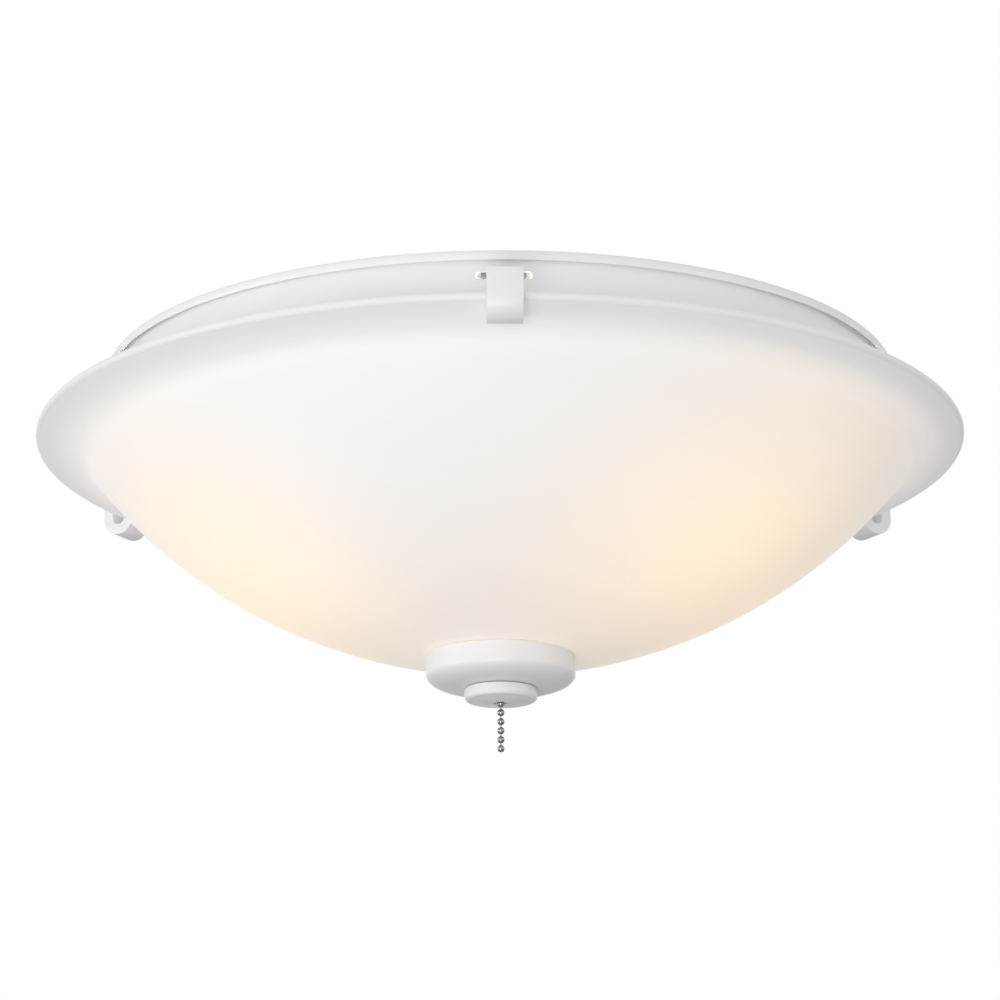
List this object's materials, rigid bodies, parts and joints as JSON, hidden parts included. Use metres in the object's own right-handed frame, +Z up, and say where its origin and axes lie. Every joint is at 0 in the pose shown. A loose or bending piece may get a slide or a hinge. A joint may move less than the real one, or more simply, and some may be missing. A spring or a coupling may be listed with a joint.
{
  "type": "ceiling fan light kit",
  "caption": "Bowl light kit for a ceiling fan: opal glass bowl held by sliding hook clips and a screwed finial, with a bead pull chain.",
  "frame": {"origin": "centre of the fan screw circle, on the flat top of the mounting pan", "axes": "+Z up, out of the pan towards the fan; -Y towards the front clip; lamps along X"},
  "size_m": [0.4064, 0.4132, 0.1662],
  "materials": {
    "white_paint": "satin white enamel",
    "opal_glass": "satin opal glass",
    "chain_nickel": "polished nickel plate",
    "zinc_plate": "zinc plated steel",
    "spring_steel": "spring steel wire",
    "bare_aluminium": "mill finish",
    "black_nylon": "moulded nylon",
    "brass": "turned brass",
    "porcelain": "glazed porcelain",
    "green_screw": "green dye over zinc",
    "soft_rubber": "silicone rubber",
    "lamp_plastic": "white polycarbonate",
    "lamp_diffuser": "frosted polycarbonate"
  },
  "bodies": {
    "fixture": {"mounting_pan": "white_paint", "skirt_ring": "white_paint", "skirt_screws": "zinc_plate", "glass_bowl": "opal_glass", "clip_brackets": "zinc_plate", "bracket_rivets": "zinc_plate", "clip_spring_front": "spring_steel", "clip_spring_right": "spring_steel", "clip_spring_left": "spring_steel", "heat_shield": "bare_aluminium", "wire_bushing": "black_nylon", "ground_screw": "green_screw", "switch_cup": "white_paint", "cup_screws": "zinc_plate", "switch_body": "black_nylon", "switch_nozzle": "brass", "stem_coupling": "zinc_plate", "stem": "zinc_plate", "lamp_bracket": "zinc_plate", "bracket_nut": "zinc_plate", "socket_body_left": "porcelain", "socket_body_right": "porcelain", "socket_shell_left": "bare_aluminium", "socket_shell_right": "bare_aluminium", "socket_contact_left": "brass", "socket_contact_right": "brass", "socket_screws": "zinc_plate", "lamp_base_left": "bare_aluminium", "lamp_base_right": "bare_aluminium", "lamp_collar_left": "lamp_plastic", "lamp_collar_right": "lamp_plastic", "lamp_globe_left": "lamp_diffuser", "lamp_globe_right": "lamp_diffuser", "glass_gasket": "soft_rubber", "glass_washer": "zinc_plate", "glass_nut": "zinc_plate"},
    "clip_front": {"clip_front": "white_paint"},
    "clip_right": {"clip_right": "white_paint"},
    "clip_left": {"clip_left": "white_paint"},
    "cap": {"finial_cap": "white_paint", "cap_gasket": "soft_rubber"},
    "knob": {"finial_knob": "white_paint"},
    "chain": {"pull_chain": "chain_nickel"},
    "chain_bead": {"chain_bead": "chain_nickel"},
    "chain_end": {"chain_end": "chain_nickel"}
  },
  "joints": [
    {"name": "clip_front_slide", "type": "slide", "parent": "fixture", "child": "clip_front", "axis": [0, -0.9611, -0.2761], "range_m": [0, 0.0104], "stiffness_N_per_m": 300, "springref_m": -0.005, "deforming": ["clip_spring_front"]},
    {"name": "clip_right_slide", "type": "slide", "parent": "fixture", "child": "clip_right", "axis": [0.8324, 0.4806, -0.2761], "range_m": [0, 0.0104], "stiffness_N_per_m": 300, "springref_m": -0.005, "deforming": ["clip_spring_right"]},
    {"name": "clip_left_slide", "type": "slide", "parent": "fixture", "child": "clip_left", "axis": [-0.8324, 0.4806, -0.2761], "range_m": [0, 0.0104], "stiffness_N_per_m": 300, "springref_m": -0.005, "deforming": ["clip_spring_left"]},
    {"name": "knob_turn", "type": "hinge", "parent": "cap", "child": "knob", "pos_m": [0, 0, -0.1366], "axis": [0, 0, -1], "range_deg": [0, 2160]},
    {"name": "cap_lower", "type": "slide", "parent": "fixture", "child": "cap", "axis": [0, 0, -1], "range_m": [0, 0.00564]},
    {"name": "chain_pull", "type": "slide", "parent": "fixture", "child": "chain", "axis": [0, 0, -1], "range_m": [0, 0.006], "stiffness_N_per_m": 400, "springref_m": -0.004},
    {"name": "chain_swing_front", "type": "hinge", "parent": "chain", "child": "chain_bead", "pos_m": [0, 0, -0.14726], "axis": [1, 0, 0], "range_deg": [-40, 40]},
    {"name": "chain_swing_side", "type": "hinge", "parent": "chain_bead", "child": "chain_end", "pos_m": [0, 0, -0.15122], "axis": [0, 1, 0], "range_deg": [-40, 40]}
  ],
  "couplings": [
    {"joint": "knob_turn", "follows": "cap_lower", "rad_per_m": 6679}
  ]
}
